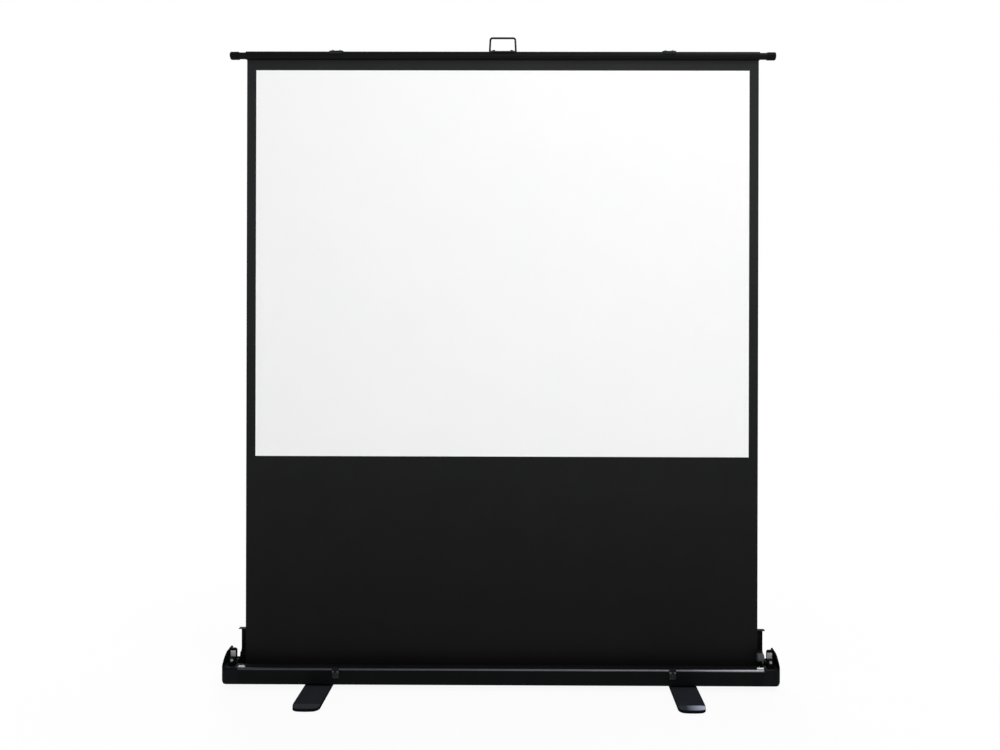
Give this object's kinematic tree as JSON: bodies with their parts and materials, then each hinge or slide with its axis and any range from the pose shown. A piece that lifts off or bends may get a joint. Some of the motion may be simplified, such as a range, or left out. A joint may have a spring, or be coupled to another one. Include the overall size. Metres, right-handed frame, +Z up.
{
  "type": "floor-standing projection screen",
  "caption": "Pull-up projection screen: a cloth rises from a floor case on folding arms to a top bar with a wire handle, over swivelling feet and a hinged lid.",
  "frame": {"origin": "on the floor under the middle of the case, in the plane of the raised cloth", "axes": "+Z up, +X along the case to a viewer's right, +Y away from the viewer to the rear"},
  "size_m": [1.797, 0.424, 2.1282],
  "materials": {
    "black_aluminium": "satin black coat",
    "black_moulding": "moulded",
    "grey_moulding": "moulded",
    "bright_steel": "zinc plated",
    "black_steel": "powder coat",
    "black_cloth": "matt coated cloth",
    "white_cloth": "matt white coating",
    "rubber": "moulded"
  },
  "bodies": {
    "case": {"case_tray": "black_aluminium", "end_cap_left": "black_moulding", "end_cap_right": "black_moulding", "bar_clip_left": "bright_steel", "bar_clip_right": "bright_steel", "clip_screws": "bright_steel", "ledge_straps": "bright_steel", "roller_bracket_left": "black_moulding", "spring_bracket_right": "grey_moulding", "spring_shaft": "bright_steel", "torsion_spring": "bright_steel", "screen_fabric": "black_cloth", "viewing_surface": "white_cloth", "foot_mount_plates": "bright_steel", "foot_bolts": "bright_steel", "foot_nuts": "bright_steel", "arm_base_left": "black_steel", "arm_base_right": "black_steel", "base_pins": "bright_steel", "hinge_leaf_wall": "black_steel", "hinge_pin": "bright_steel", "latch_base_left": "black_steel", "latch_base_right": "black_steel", "latch_pins": "bright_steel", "latch_rivets": "bright_steel"},
    "roller": {"roller_tube": "black_aluminium", "roller_plug_left": "black_moulding", "roller_plug_right": "black_moulding", "fabric_wraps": "black_cloth"},
    "left_foot": {"foot_left": "black_steel", "foot_pads_left": "rubber", "foot_washer_left": "black_moulding"},
    "right_foot": {"foot_right": "black_steel", "foot_pads_right": "rubber", "foot_washer_right": "black_moulding"},
    "left_lower": {"lower_arm_left": "black_steel", "knee_pin_left": "bright_steel", "knee_washer_left": "black_moulding"},
    "left_upper": {"upper_arm_left": "black_steel"},
    "right_lower": {"lower_arm_right": "black_steel", "knee_pin_right": "bright_steel", "knee_washer_right": "black_moulding"},
    "right_upper": {"upper_arm_right": "black_steel"},
    "bar": {"bar_tube": "black_aluminium", "hem_rod": "bright_steel", "bar_rod_left": "black_steel", "bar_rod_right": "black_steel", "bar_knob_left": "black_moulding", "bar_knob_right": "black_moulding", "arm_clamp_left": "black_steel", "arm_clamp_right": "black_steel", "clamp_screws": "black_steel", "top_pins": "bright_steel", "handle_bracket": "black_steel", "handle_screws": "black_steel"},
    "handle": {"handle_bail": "black_steel"},
    "lid": {"lid_panel": "black_aluminium", "hinge_leaf_lid": "black_steel"},
    "left_latch": {"latch_hook_left": "black_steel"},
    "right_latch": {"latch_hook_right": "black_steel"}
  },
  "joints": [
    {"name": "screen_lift", "type": "hinge", "parent": "case", "child": "left_lower", "pos_m": [-0.546, 0, 0.05], "axis": [0, 1, 0], "range_deg": [0, 79.4], "deforming": ["screen_fabric", "viewing_surface"]},
    {"name": "left_knee", "type": "hinge", "parent": "left_lower", "child": "left_upper", "pos_m": [-0.36161, 0, 1.041], "axis": [0, 1, 0], "range_deg": [-158.82, 0]},
    {"name": "bar_pivot", "type": "hinge", "parent": "left_upper", "child": "bar", "pos_m": [-0.546, 0, 2.032], "axis": [0, 1, 0], "range_deg": [0, 79.41]},
    {"name": "right_base", "type": "hinge", "parent": "case", "child": "right_lower", "pos_m": [0.546, 0, 0.05], "axis": [0, 1, 0], "range_deg": [-79.41, 0]},
    {"name": "right_knee", "type": "hinge", "parent": "right_lower", "child": "right_upper", "pos_m": [0.36161, 0, 1.041], "axis": [0, 1, 0], "range_deg": [0, 158.82]},
    {"name": "roller_turn", "type": "hinge", "parent": "case", "child": "roller", "pos_m": [0, -0.01915, 0.05], "axis": [1, 0, 0], "continuous": true},
    {"name": "handle_swing", "type": "hinge", "parent": "bar", "child": "handle", "pos_m": [0, 0.012, 2.08], "axis": [1, 0, 0], "range_deg": [-90, 45]},
    {"name": "lid_swing", "type": "hinge", "parent": "case", "child": "lid", "pos_m": [0, 0.0398, 0.078], "axis": [-1, 0, 0], "range_deg": [0, 90]},
    {"name": "left_latch_swing", "type": "hinge", "parent": "case", "child": "left_latch", "pos_m": [-0.53, -0.0653, 0.064], "axis": [1, 0, 0], "range_deg": [0, 150]},
    {"name": "right_latch_swing", "type": "hinge", "parent": "case", "child": "right_latch", "pos_m": [0.552, -0.0653, 0.064], "axis": [1, 0, 0], "range_deg": [0, 150]},
    {"name": "left_foot_turn", "type": "hinge", "parent": "case", "child": "left_foot", "pos_m": [-0.589, 0, 0.015], "axis": [0, 0, 1], "range_deg": [0, 90]},
    {"name": "right_foot_turn", "type": "hinge", "parent": "case", "child": "right_foot", "pos_m": [0.589, 0, 0.015], "axis": [0, 0, -1], "range_deg": [0, 90]}
  ],
  "couplings": [
    {"joint": "left_knee", "follows": "screen_lift", "ratio": -2},
    {"joint": "bar_pivot", "follows": "screen_lift", "ratio": 1},
    {"joint": "right_base", "follows": "screen_lift", "ratio": -1},
    {"joint": "right_knee", "follows": "screen_lift", "ratio": 2},
    {"joint": "roller_turn", "follows": "screen_lift", "ratio": -64.834}
  ]
}
